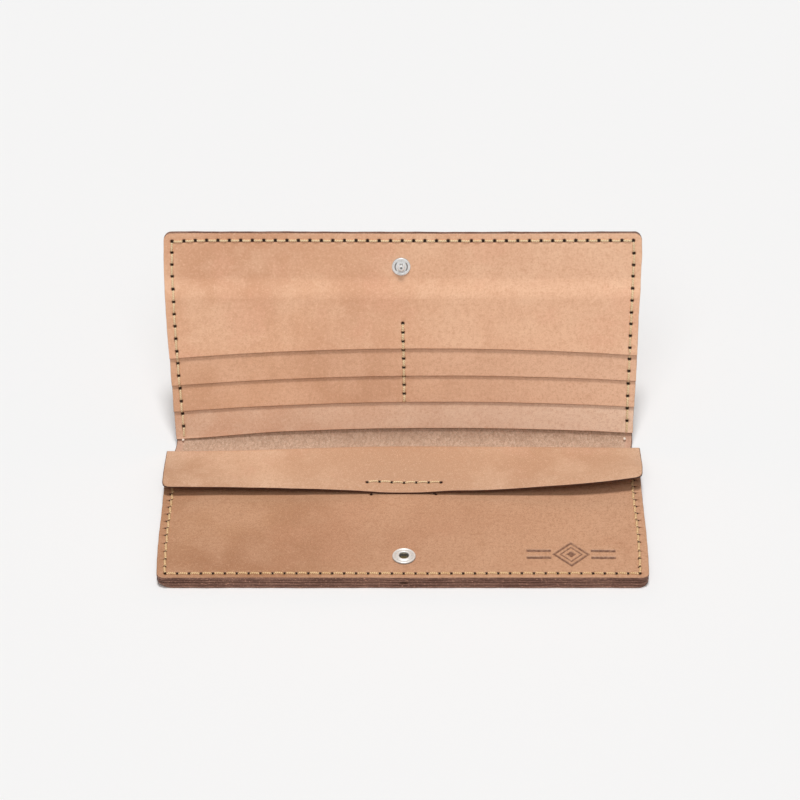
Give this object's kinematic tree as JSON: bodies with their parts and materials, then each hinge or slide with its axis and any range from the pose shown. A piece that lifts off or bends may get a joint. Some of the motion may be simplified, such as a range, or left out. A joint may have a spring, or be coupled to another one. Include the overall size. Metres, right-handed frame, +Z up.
{
  "type": "long wallet",
  "caption": "Long bifold leather wallet, half open: card tiers and a snap stud on the raised cover, wide pocket with a rolled tuck-in flap and a snap socket below.",
  "frame": {"origin": "centre of the lower half's underside, on the table", "axes": "+X along the wallet's width to the right, -Y towards the front edge, +Z up from the table"},
  "size_m": [0.207, 0.1292, 0.0927],
  "materials": {
    "shell_leather": "natural veg-tan, flesh side in, smooth face out",
    "panel_leather": "natural veg-tan, satin, burnished edges",
    "card_leather": "natural veg-tan, satin, burnished edges",
    "welt_leather": "burnished edge",
    "waxed_thread": "waxed cream thread",
    "nickel": "nickel plated brass, polished",
    "spring_steel": "spring wire"
  },
  "bodies": {
    "base": {"outer_shell_lower": "shell_leather", "pocket_back_panel": "panel_leather", "welt_strip_left": "welt_leather", "welt_strip_right": "welt_leather", "welt_strip_front": "welt_leather", "pocket_front_panel": "panel_leather", "snap_socket": "nickel", "snap_socket_spring": "spring_steel", "snap_socket_cap": "nickel", "thread_lower_perimeter": "waxed_thread"},
    "flap": {"flap_roll": "panel_leather", "pocket_flap": "panel_leather", "tuck_tongue": "panel_leather", "thread_tongue": "waxed_thread"},
    "cover": {"outer_shell_spine": "shell_leather", "outer_shell_upper": "shell_leather", "card_backing_panel": "card_leather", "card_tier_3": "card_leather", "card_tier_2": "card_leather", "card_front_panel": "card_leather", "snap_stud": "nickel", "snap_stud_eyelet": "nickel", "thread_upper_perimeter": "waxed_thread", "thread_card_divider": "waxed_thread", "thread_tier_2_base": "waxed_thread", "thread_tier_3_base": "waxed_thread"}
  },
  "joints": [
    {"name": "cover_fold", "type": "hinge", "parent": "base", "child": "cover", "pos_m": [0, 0.045, 0.00845], "axis": [-1, 0, 0], "range_deg": [-106, 70], "deforming": ["outer_shell_spine"]},
    {"name": "flap_lift", "type": "hinge", "parent": "base", "child": "flap", "pos_m": [0, 0.037, 0.0058], "axis": [-1, 0, 0], "range_deg": [0, 115], "deforming": ["flap_roll", "pocket_flap", "tuck_tongue", "thread_tongue"]}
  ]
}
